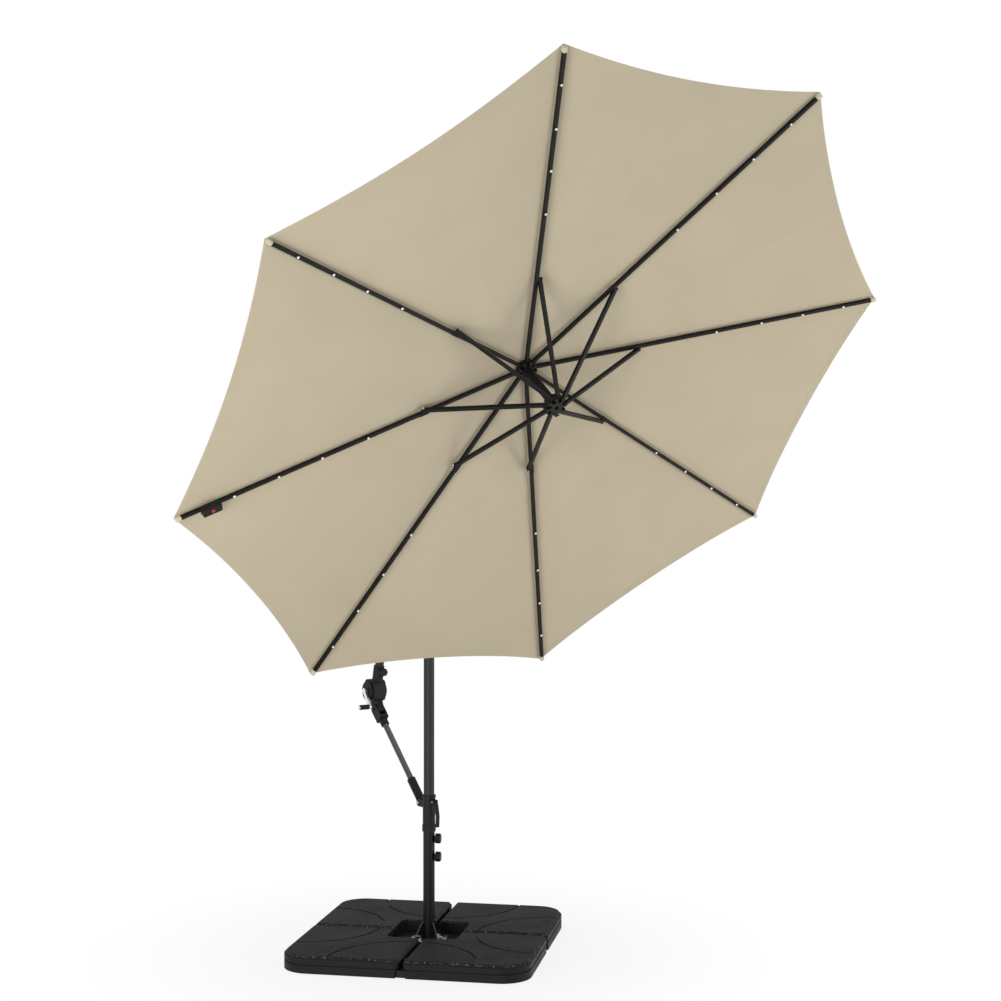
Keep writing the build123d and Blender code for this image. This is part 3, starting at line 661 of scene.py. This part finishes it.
@dataclass
class Canopy:
    """Cloth of the canopy, cut along the middle of each gore so that it folds with the ribs."""

    frame: CanopyFrame
    cloth: bpy.types.Material
    pocket_cloth: bpy.types.Material
    columns: int = 32
    rows: int = 44
    thickness: float = 0.0012
    lift: float = 0.0009
    sag: float = 0.016
    sag_in_middle: float = 0.8
    sag_power: float = 1.3
    sag_at_edge: float = 0.3
    hem_width: float = 0.022
    hem_rows: int = 3
    hem_gap: float = 0.0006
    folded_share: float = 0.19
    joint_lift: float = 0.015
    joint_side: float = 0.085
    joint_spread: tuple[float, float] = (0.05, 0.08)
    pocket_length: float = 0.013
    pocket_overhang: float = 0.008
    pocket_half_width: float = 0.0090
    pocket_tip_half_width: float = 0.0075
    pocket_rise: float = 0.0025
    pocket_wall: float = 0.0025
    pocket_cuts: int = 3
    area_steps: int = 200

    def build(self) -> None:
        """Make every panel with its hem and pocket."""
        pocket = self.pocket()
        for rib in range(1, RIB_COUNT + 1):
            panel = self.panel(rib)
            hem = self.hem(rib)
            tip = copy_of(pocket, self.frame.rib_place(rib))
            tip.name = f"tip_pocket_{rib}"
            for piece, material in ((panel, self.cloth), (hem, self.cloth), (tip, self.pocket_cloth)):
                dress(piece, material)
                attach(piece, f"rib_{rib}")
            across = self.frame.axis.cross(self.frame.direction(self.frame.angle(rib)))
            anchor = self.frame.rib_place(rib).translation
            for piece in (panel, hem):
                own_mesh(piece)
            if rib == 1:
                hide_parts("canopy")
            width, length, area = self.flat_size()
            log.info("canopy panel %d with hem and pocket", rib)
        bpy.data.objects.remove(pocket)

    def flat_size(self) -> tuple[float, float, float]:
        """Size that one panel is cut to.

        Returns:
            Width, length and area in metres.
        """
        rise = math.hypot(1.0, self.frame.slope)
        total = 0.0
        for step in range(self.area_steps):
            bearing = (step + 0.5) / self.area_steps * GORE_ANGLE / 2
            total += (self.frame.edge_reach(bearing) ** 2 - self.frame.hole**2) / 2
        area = 2 * total / self.area_steps * GORE_ANGLE / 2 * rise
        width = 2 * self.frame.edge_reach(0.0) * math.sin(GORE_ANGLE / 2)
        return width, self.frame.radius * rise, area

    def surface(self, bearing: float, reach: float, drop: float) -> Vector:
        """Point of the cloth.

        Args:
            bearing: Angle from the rib, positive towards the next rib.
            reach: Distance from the canopy axis.
            drop: Distance below the cloth.

        Returns:
            The point with X along the rib, in the frame of the canopy turned to that rib.
        """
        from_middle = GORE_ANGLE / 2 - abs(bearing)
        x = reach * math.cos(from_middle)
        z = -(self.frame.top + self.frame.slope * x / math.cos(GORE_ANGLE / 2)) + self.lift
        across = from_middle / (GORE_ANGLE / 2)
        share = min(1.0, reach / self.frame.edge_reach(from_middle))
        belly = math.sin(math.pi * share**self.sag_power)
        z -= self.sag * (1 - across**2) ** 2 * belly * self.sag_in_middle
        z -= self.sag * self.sag_at_edge * (1 - across**2) ** 2 * share**3
        # The cloth rides over the end of the stretcher, beside the rib, which turns up in the fold
        along = (reach - self.frame.stretcher_reach) / self.joint_spread[0]
        beside = (reach * bearing - self.joint_side) / self.joint_spread[1]
        z += self.joint_lift * across * math.exp(-(along**2) - beside**2)
        return Vector((reach * math.cos(bearing), reach * math.sin(bearing), z - drop))

    def stretch(
        self, obj: bpy.types.Object, rib: int, inner: Callable[[float], float], drop: float
    ) -> None:
        """Lay a flat grid on the cloth's surface and write its cut and seam distances.

        Args:
            obj: Grid from -1 to 1 on both sides.
            rib: Number of the rib in the middle of the panel.
            inner: Distance of the inner edge from the axis at a bearing from the gore's middle.
            drop: Distance below the cloth.
        """
        mesh = obj.data
        half = GORE_ANGLE / 2
        turn = self.frame.angle(rib)
        flat = np.zeros((len(mesh.vertices), 3))
        seam = np.zeros(len(mesh.vertices), np.float32)
        for vertex in mesh.vertices:
            bearing = vertex.co.x * half
            from_middle = half - abs(bearing)
            start = inner(from_middle)
            reach = start + (self.frame.edge_reach(from_middle) - start) * (vertex.co.y + 1) / 2
            at = self.surface(bearing, reach, drop)
            flat[vertex.index] = (reach * math.sin(from_middle), reach * math.cos(from_middle), bearing)
            seam[vertex.index] = reach * math.sin(abs(bearing))
            x = at.x * math.cos(turn) - at.y * math.sin(turn)
            y = at.x * math.sin(turn) + at.y * math.cos(turn)
            vertex.co = self.frame.point(x, y, at.z)
        layer = mesh.uv_layers.active or mesh.uv_layers.new()
        layer.name = "cut"
        for face in mesh.polygons:
            side = 1.0 if sum(flat[v][2] for v in face.vertices) > 0 else -1.0
            for loop in face.loop_indices:
                across, along, _ = flat[mesh.loops[loop].vertex_index]
                layer.data[loop].uv = (side * across + rib, along)
        mesh.attributes.new("seam", "FLOAT", "POINT").data.foreach_set("value", seam)

    def panel(self, rib: int) -> bpy.types.Object:
        """One panel, from the middle of one gore to the middle of the next.

        Args:
            rib: Number of the rib in its middle.

        Returns:
            The panel.
        """
        deselect()
        bpy.ops.mesh.primitive_grid_add(x_subdivisions=self.columns, y_subdivisions=self.rows, size=2)
        panel = added(f"canopy_panel_{rib}")
        self.stretch(panel, rib, lambda bearing: self.frame.hole, 0.0)
        finish_shape(panel, ("SOLIDIFY", {"thickness": self.thickness, "offset": 1.0}))
        return panel

    def hem(self, rib: int) -> bpy.types.Object:
        """Folded edge of one panel, on its underside.

        Args:
            rib: Number of the rib in its middle.

        Returns:
            The hem.
        """
        deselect()
        bpy.ops.mesh.primitive_grid_add(x_subdivisions=self.columns, y_subdivisions=self.hem_rows, size=2)
        hem = added(f"canopy_hem_{rib}")
        drop = self.hem_gap + self.thickness / 2
        self.stretch(hem, rib, lambda bearing: self.frame.edge_reach(bearing) - self.hem_width, drop)
        finish_shape(hem, ("SOLIDIFY", {"thickness": self.thickness, "offset": 0.0}))
        return hem

    def pocket(self) -> bpy.types.Object:
        """Sewn pocket that holds the tip of a rib, in the rib's frame.

        Returns:
            The pocket, to be copied.
        """
        start = self.frame.rib_length - self.pocket_length
        end = self.frame.rib_length + self.pocket_overhang
        deselect()
        bpy.ops.mesh.primitive_cube_add(size=1)
        pocket = added("tip_pocket")
        low = -self.frame.rib_half_height - self.pocket_wall
        high = self.frame.rib_half_height + self.lift
        for vertex in pocket.data.vertices:
            far = vertex.co.x > 0
            half = self.pocket_tip_half_width if far else self.pocket_half_width
            vertex.co.x = end if far else start
            vertex.co.y = math.copysign(half, vertex.co.y)
            vertex.co.z = high if vertex.co.z > 0 else low
        open_faces(pocket, lambda face: True)
        bpy.ops.mesh.subdivide(number_cuts=self.pocket_cuts)
        bpy.ops.object.mode_set(mode="OBJECT")
        for vertex in pocket.data.vertices:
            if vertex.co.z < low + SAME_HEIGHT:
                share = min(1.0, abs(vertex.co.y) / self.pocket_half_width)
                vertex.co.z += self.pocket_rise * share**2
        layer = pocket.data.uv_layers.active
        layer.name = "cut"
        for face in pocket.data.polygons:
            for loop in face.loop_indices:
                at = pocket.data.vertices[pocket.data.loops[loop].vertex_index].co
                layer.data[loop].uv = (at.y, at.x)
        finish_shape(
            pocket,
            ("BEVEL", {"width": self.pocket_wall / 2, "segments": 2, "limit_method": "ANGLE"}),
            ("SUBSURF", {"levels": 1, "render_levels": 1}),
        )
        return pocket


@dataclass
class RibLamps:
    """White lamp lenses under each rib, with a black bezel round each."""

    frame: CanopyFrame
    lens: bpy.types.Material
    plastic: bpy.types.Material
    places: tuple[float, ...] = (0.53, 0.66, 0.78, 0.90)
    box_shift: float = -0.054
    lens_radius: float = 0.0054
    lens_height: float = 0.0058
    lens_sides: int = 24
    dome_share: float = 0.7
    dome_steps: int = 5
    # Faces whose normal is lower than this look down
    downward: float = -0.9
    bezel_gap: float = 0.0008
    bezel_wire: float = 0.0014
    bezel_stretch: float = 1.3
    bezel_drop: float = 0.0006
    bezel_sides: tuple[int, int] = (28, 10)

    def build(self) -> None:
        """Make the lenses of every rib and a bezel round each."""
        lens = self.lens_shape()
        bezel = self.bezel_shape()
        for rib in range(1, RIB_COUNT + 1):
            shift = self.box_shift if rib == BOX_RIB else 0.0
            lenses = []
            bezels = []
            for share in self.places:
                reach = self.frame.radius * (share + shift) - self.frame.hinge_radius
                along = reach / math.cos(self.frame.rib_slope)
                under = Matrix.Translation((along, 0, -self.frame.rib_half_height))
                lenses.append(copy_of(lens, self.frame.rib_place(rib) @ under))
                bezels.append(copy_of(bezel, self.frame.rib_place(rib) @ under))
            for name, copies, material in (
                (f"lamp_lenses_{rib}", lenses, self.lens),
                (f"lamp_bezels_{rib}", bezels, self.plastic),
            ):
                piece = joined(name, copies)
                dress(piece, material)
                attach(piece, f"rib_{rib}")
            log.info("lamps under rib %d", rib)
        bpy.data.objects.remove(lens)
        bpy.data.objects.remove(bezel)

    def lens_shape(self) -> bpy.types.Object:
        """Domed lens that hangs below the origin.

        Returns:
            The lens, to be copied.
        """
        deselect()
        bpy.ops.mesh.primitive_cylinder_add(
            vertices=self.lens_sides,
            radius=self.lens_radius,
            depth=self.lens_height,
            location=(0, 0, -self.lens_height / 2),
        )
        lens = added("lamp_lens")
        apply_place(lens, Matrix.Identity(4))
        open_faces(lens, lambda face: face.normal.z < self.downward)
        bpy.ops.mesh.bevel(offset=self.lens_height * self.dome_share, segments=self.dome_steps)
        bpy.ops.object.mode_set(mode="OBJECT")
        finish_shape(lens)
        return lens

    def bezel_shape(self) -> bpy.types.Object:
        """Raised ring round a lens.

        Returns:
            The ring, to be copied.
        """
        deselect()
        bpy.ops.mesh.primitive_torus_add(
            major_segments=self.bezel_sides[0],
            minor_segments=self.bezel_sides[1],
            major_radius=self.lens_radius + self.bezel_gap,
            minor_radius=self.bezel_wire,
        )
        bezel = added("lamp_bezel")
        for vertex in bezel.data.vertices:
            vertex.co.z = vertex.co.z * self.bezel_stretch - self.bezel_drop
        finish_shape(bezel)
        return bezel


@dataclass
class FrameFittings:
    """Clips and rivet heads where the stretchers meet the ribs."""

    frame: CanopyFrame
    plastic: bpy.types.Material
    zinc: bpy.types.Material
    clip_half_length: float = 0.022
    clip_wall: float = 0.0018
    clip_gap: float = 0.00002
    clip_top_share: float = 0.55
    clip_edge: float = 0.0007
    rivet_side: float = 0.0234
    rivet_radius: float = 0.0056
    rivet_dome: float = 0.0022
    rivet_sides: tuple[int, int] = (20, 12)

    def build(self) -> None:
        """Make a clip on every rib and a rivet head on every stretcher."""
        clip = self.clip()
        rivet = self.rivet()
        along = (self.frame.stretcher_reach - self.frame.hinge_radius) / math.cos(self.frame.rib_slope)
        for rib in range(1, RIB_COUNT + 1):
            place = self.frame.rib_place(rib) @ Matrix.Translation((along, 0, 0))
            piece = copy_of(clip, place)
            piece.name = f"rib_clip_{rib}"
            dress(piece, self.plastic)
            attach(piece, f"rib_{rib}")
            head = copy_of(rivet, place @ Matrix.Translation((0, self.rivet_side, 0)))
            head.name = f"rivet_head_{rib}"
            dress(head, self.zinc)
            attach(head, f"stretcher_{rib}")
        bpy.data.objects.remove(clip)
        bpy.data.objects.remove(rivet)

    def rivet(self) -> bpy.types.Object:
        """Low domed head that faces along Y.

        Returns:
            The head, to be copied.
        """
        deselect()
        bpy.ops.mesh.primitive_uv_sphere_add(
            segments=self.rivet_sides[0], ring_count=self.rivet_sides[1], radius=self.rivet_radius
        )
        rivet = added("rivet_head")
        for vertex in rivet.data.vertices:
            vertex.co.y = max(0.0, vertex.co.y) * self.rivet_dome / self.rivet_radius
        finish_shape(rivet)
        return rivet

    def clip(self) -> bpy.types.Object:
        """Plate on the free side of a rib, across from the end of the stretcher.

        Returns:
            The clip, to be copied.
        """
        deselect()
        bpy.ops.mesh.primitive_cube_add(size=1)
        clip = added("rib_clip")
        low = -self.frame.rib_half_height - self.clip_wall
        high = self.frame.rib_half_height * self.clip_top_share
        inner = -self.frame.rib_half_width - self.clip_gap
        outer = -self.frame.rib_half_width - self.clip_wall
        for vertex in clip.data.vertices:
            vertex.co.x = math.copysign(self.clip_half_length, vertex.co.x)
            vertex.co.y = inner if vertex.co.y > 0 else outer
            vertex.co.z = high if vertex.co.z > 0 else low
        finish_shape(clip, ("BEVEL", {"width": self.clip_edge, "segments": 2, "limit_method": "ANGLE"}))
        return clip


@dataclass(frozen=True)
class AreaLamp:
    """A square soft lamp."""

    name: str
    watts: float
    side: float
    place: tuple[float, float, float]
    target: tuple[float, float, float]


@dataclass
class Studio:
    """Pale floor, soft light and a camera at the photograph's view."""

    lens: float = 61.175
    sensor_width: float = 36.0
    position: tuple[float, float, float] = (6.1355, -3.8215, 1.8841)
    look_up: float = 0.309
    bearing: float = 55.513
    shift: tuple[float, float] = (-0.0049, -0.0084)
    floor_size: float = 40.0
    paper_colour: str = "#f6f6f6"
    paper_roughness: float = 0.9
    # Distances from the middle between which the paper fades, and how white it is at each
    fade_reach: tuple[float, float] = (0.5, 1.6)
    fade_white: tuple[float, float] = (0.85, 1.0)
    # Strength of the backdrop for the light that falls on the part, and for the camera
    backdrop: tuple[float, float] = (0.45, 1.0)
    lamps: tuple[AreaLamp, ...] = (
        AreaLamp("key_light", 52.0, 2.0, (3.6, 3.0, 0.7), (0.5, 0.0, 1.9)),
        AreaLamp("fill_light", 128.0, 2.4, (2.6, -4.4, 0.7), (0.1, -0.2, 1.4)),
        AreaLamp("top_light", 80.0, 5.0, (0.5, 0.5, 6.5), (0.4, 0.0, 1.0)),
    )

    def build(self) -> None:
        """Make the floor, the lights, the world and the camera."""
        self.floor()
        self.lights()
        self.world()
        self.camera()

    def floor(self) -> None:
        """Pale floor that keeps the shadow and looks white to the camera."""
        deselect()
        bpy.ops.mesh.primitive_plane_add(size=self.floor_size)
        floor = added("studio_floor")
        dress(floor, self.paper())

    def paper(self) -> bpy.types.Material:
        """Matt white paper that fades into the white backdrop away from the base.

        Returns:
            The floor's material.
        """
        made, tree, shader = new_material("Matt white paper")
        shader.inputs["Base Color"].default_value = linear(self.paper_colour)
        shader.inputs["Roughness"].default_value = self.paper_roughness
        shader.inputs["Specular IOR Level"].default_value = 0.0
        place = add_node(tree, "ShaderNodeTexCoord")
        away = add_node(tree, "ShaderNodeVectorMath", {"operation": "LENGTH"}, {0: place.outputs["Object"]})
        fade = add_node(
            tree,
            "ShaderNodeMapRange",
            {"interpolation_type": "SMOOTHSTEP"},
            {
                "Value": away.outputs["Value"],
                "From Min": self.fade_reach[0],
                "From Max": self.fade_reach[1],
                "To Min": self.fade_white[0],
                "To Max": self.fade_white[1],
            },
        )
        rays = add_node(tree, "ShaderNodeLightPath")
        mirrored = add_node(
            tree,
            "ShaderNodeMath",
            {"operation": "MAXIMUM"},
            {0: rays.outputs["Is Glossy Ray"], 1: rays.outputs["Is Transmission Ray"]},
        )
        seen = add_node(
            tree,
            "ShaderNodeMath",
            {"operation": "MAXIMUM"},
            {0: rays.outputs["Is Camera Ray"], 1: mirrored.outputs[0]},
        )
        share = add_node(
            tree, "ShaderNodeMath", {"operation": "MULTIPLY"}, {0: fade.outputs[0], 1: seen.outputs[0]}
        )
        glow = add_node(tree, "ShaderNodeEmission", inputs={"Color": WHITE, "Strength": 1.0})
        blend = add_node(
            tree,
            "ShaderNodeMixShader",
            inputs={0: share.outputs[0], 1: shader.outputs[0], 2: glow.outputs[0]},
        )
        tree.links.new(blend.outputs[0], tree.nodes["Material Output"].inputs["Surface"])
        return made

    def lights(self) -> None:
        """Large soft lamps in front of the canopy and above it."""
        for lamp in self.lamps:
            data = bpy.data.lights.new(lamp.name, "AREA")
            data.energy = lamp.watts
            data.size = lamp.side
            obj = bpy.data.objects.new(lamp.name, data)
            bpy.context.scene.collection.objects.link(obj)
            obj.location = lamp.place
            way = Vector(lamp.target) - Vector(lamp.place)
            obj.rotation_euler = way.to_track_quat("-Z", "Y").to_euler()

    def world(self) -> None:
        """Even light all round, and plain white where the camera sees it."""
        world = bpy.data.worlds.new("Studio backdrop")
        world.use_nodes = True
        tree = world.node_tree
        sky = tree.nodes["Background"]
        sky.inputs["Color"].default_value = WHITE
        rays = add_node(tree, "ShaderNodeLightPath")
        level = add_node(
            tree,
            "ShaderNodeMapRange",
            inputs={
                "Value": rays.outputs["Is Camera Ray"],
                "To Min": self.backdrop[0],
                "To Max": self.backdrop[1],
            },
        )
        tree.links.new(level.outputs[0], sky.inputs["Strength"])
        bpy.context.scene.world = world
        bpy.context.scene.view_settings.view_transform = "Standard"

    def camera(self) -> None:
        """Camera at the photograph's place."""
        data = bpy.data.cameras.new("photo_camera")
        data.lens = self.lens
        data.sensor_width = self.sensor_width
        data.shift_x, data.shift_y = self.shift
        obj = bpy.data.objects.new("photo_camera", data)
        bpy.context.scene.collection.objects.link(obj)
        obj.location = self.position
        obj.rotation_euler = (math.radians(90 + self.look_up), 0, math.radians(self.bearing))
        bpy.context.scene.camera = obj


def finishes() -> dict[str, bpy.types.Material]:
    """Build every material once.

    Returns:
        Materials by the part of the umbrella that they are on.
    """
    made: dict[str, Finish | WovenCloth] = {
        # Rotation-moulded polyethylene has a fine pebbled skin, and pale speckle painted along its upper
        # edges stands for the glints of light there
        "tank": Finish(
            "Black moulded polyethylene", "#171717", "#212121", 0.55,
            specular=0.16, grain=Grain.PEBBLE, grain_mm=5.0,
            patch_mm=160.0, bump=0.12, bump_mm=0.5, glint_from_mm=60.0, glint_to_mm=71.0,
        ),
        # Powder coat on steel tube has a faint orange peel and a satin gloss
        "tube": Finish(
            "Charcoal powder-coated steel", "#26272a", "#303134", 0.45,
            specular=0.25, grain=Grain.PEEL, grain_mm=6.0,
            patch_mm=300.0, bump=0.08, bump_mm=0.2,
        ),
        # The lower tube and the cross bars carry a darker coat
        "dark_tube": Finish(
            "Black powder-coated steel", "#121213", "#1a1a1b", 0.36,
            specular=0.2, grain=Grain.PEEL, grain_mm=6.0,
            patch_mm=220.0, bump=0.08, bump_mm=0.2,
        ),
        # The welded foot is dipped in a glossy enamel, which catches small highlights
        "enamel": Finish(
            "Gloss black enamel", "#141415", "#1b1b1c", 0.15, specular=1.0, grain=Grain.PEEL, grain_mm=8.0,
            patch_mm=60.0, bump=0.12, bump_mm=0.3, coat=1.0,
        ),
        # The brace is a thin tube with a mid grey satin coat
        "brace": Finish(
            "Grey powder-coated steel tube", "#4b4c4e", "#5d5e60", 0.36, metallic=0.35, grain=Grain.PEEL,
            grain_mm=6.0, patch_mm=200.0, bump=0.06, bump_mm=0.2,
        ),
        # Glass-filled nylon fittings are dull, with a spark-eroded texture
        "nylon": Finish(
            "Black glass-filled nylon", "#141415", "#1e1e1f", 0.55,
            specular=0.25, grain=Grain.FINE, grain_mm=2.5,
            patch_mm=60.0, bump=0.18, bump_mm=0.3,
        ),
        # Ribs and stretchers are thin tube with a flat black coat
        "rib": Finish(
            "Black coated rib steel", "#101010", "#191918", 0.5,
            specular=0.2, grain=Grain.PEEL, grain_mm=4.0,
            patch_mm=120.0, bump=0.06, bump_mm=0.2,
        ),
        # Zinc plate is bright with a cloudy passivated film
        "zinc": Finish(
            "Zinc-plated steel", "#cdcfd2", "#e4e6e8", 0.22, metallic=1.0, grain=Grain.FINE, grain_mm=3.0,
            patch_mm=12.0, bump=0.05, bump_mm=0.1,
        ),
        # Cast aluminium of the crank is pale with a polished gloss
        "cast": Finish(
            "Polished cast aluminium", "#e2e3e4", "#f3f3f4", 0.22, metallic=1.0, grain=Grain.FINE,
            grain_mm=2.0, patch_mm=20.0, bump=0.08, bump_mm=0.15,
        ),
        # Acetal of the sleeve liner and winch drum is a pale grey engineering plastic
        "acetal": Finish("Grey acetal", "#8b8c8d", "#9a9b9c", 0.4, grain_mm=3.0, bump=0.05),
        # Lamp lenses are milky polycarbonate
        "lens": Finish("Milky polycarbonate", "#f2f1ea", "#fbfaf5", 0.22, ior=1.58, patch_mm=8.0, bump=0.02),
        # The button is glossy red ABS
        "button": Finish("Red ABS", "#b3161a", "#c52226", 0.25, patch_mm=10.0, bump=0.04),
        # Braided polyester line
        "line": Finish(
            "Black braided polyester", "#202020", "#303030", 0.8, grain=Grain.PEBBLE, grain_mm=2.0
        ),
        # Solution-dyed polyester, plain weave, with a dry surface and a faint sheen
        "cloth": WovenCloth("Beige woven polyester", "#bfb297", "#c9bda3"),
        # Pockets are a lighter cut of the same cloth
        "pocket": WovenCloth("Cream woven polyester", "#cfc5ad", "#d8cfb9"),
    }
    return {key: finish.material() for key, finish in made.items()}


NODE_FINISH: dict[str, tuple[str, ...]] = {
    "tank": ("weight_tank_1", "weight_tank_2", "weight_tank_3", "weight_tank_4", "tank_caps"),
    "dark_tube": ("cross_bar_long", "cross_bar_short", "lower_mast"),
    "enamel": ("mast_foot",),
    "tube": ("upper_mast", "boom"),
    "brace": ("brace_tube",),
    "nylon": (
        "mast_knob_lower", "mast_knob_upper", "sleeve", "release_lever", "brace_foot", "brace_clevis",
        "winch_housing", "winch_cover", "lock_knob", "hub", "crown_cap", "runner", "control_box",
        "crank_grip", "mast_head", "boom_fork", "levelling_yoke",
    ),
    "zinc": ("foot_bolts", "head_pin", "sleeve_pins", "yoke_pin", "hang_pin", "rib_pins", "runner_pins"),
    "cast": ("crank_arm",),
    "acetal": ("sleeve_liner", "winch_drum"),
    "button": ("power_button",),
    "line": ("lift_cord",),
    "rib": ("centre_tube",),
}


def dress_nodes(nodes: dict[str, bpy.types.Object], materials: dict[str, bpy.types.Material]) -> None:
    """Give every CAD node its material, apart from the canopy, which the cloth stands for.

    Args:
        nodes: CAD objects by name.
        materials: Materials by part.
    """
    rib_nodes = [f"{kind}_{n}" for kind in ("rib", "stretcher") for n in range(1, RIB_COUNT + 1)]
    named = dict(NODE_FINISH, rib=NODE_FINISH["rib"] + tuple(rib_nodes))
    for part, names in named.items():
        for name in names:
            dress(nodes[name], materials[part])
    log.info("dressed %d CAD nodes", sum(len(names) for names in named.values()))


def main() -> None:
    """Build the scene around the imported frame."""
    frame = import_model()
    materials = finishes()
    dress_nodes(frame["nodes"], materials)
    canopy_frame = CanopyFrame(hub=Vector(HUB_PLACE))
    Canopy(canopy_frame, materials["cloth"], materials["pocket"]).build()
    RibLamps(canopy_frame, materials["lens"], materials["nylon"]).build()
    FrameFittings(canopy_frame, materials["nylon"], materials["zinc"]).build()
    Studio().build()


if __name__ == "__main__":
    logging.basicConfig(level=logging.INFO)
    main()
